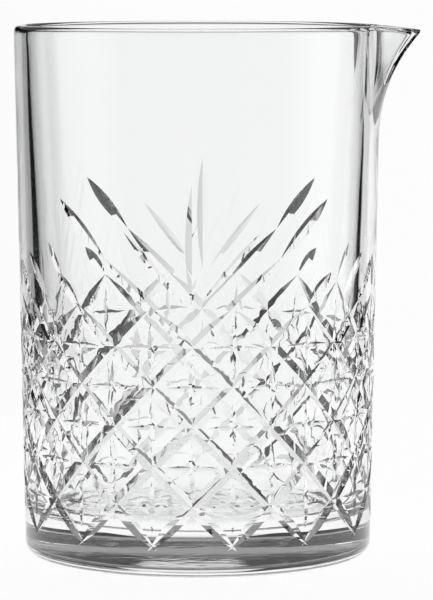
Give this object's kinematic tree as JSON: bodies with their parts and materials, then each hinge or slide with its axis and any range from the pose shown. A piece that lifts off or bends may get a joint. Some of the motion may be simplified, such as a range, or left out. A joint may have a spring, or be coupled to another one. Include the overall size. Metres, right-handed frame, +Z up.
{
  "type": "mixing glass",
  "caption": "Heavy clear pressed-glass beaker with a pouring lip, a plain upper wall, a cut diamond lattice with leaf cuts above it, and a thick flat base.",
  "frame": {"origin": "centre of the flat underside, on the glass's upright axis", "axes": "+Z up along the glass's axis, +X towards the pouring lip, -Y towards the middle of the cut pattern's front fan"},
  "size_m": [0.1116, 0.101, 0.146],
  "materials": {
    "clear_glass": "fire-polished clear soda-lime glass, refractive index about 1.52"
  },
  "bodies": {
    "root": {"vessel": "clear_glass"}
  },
  "joints": []
}
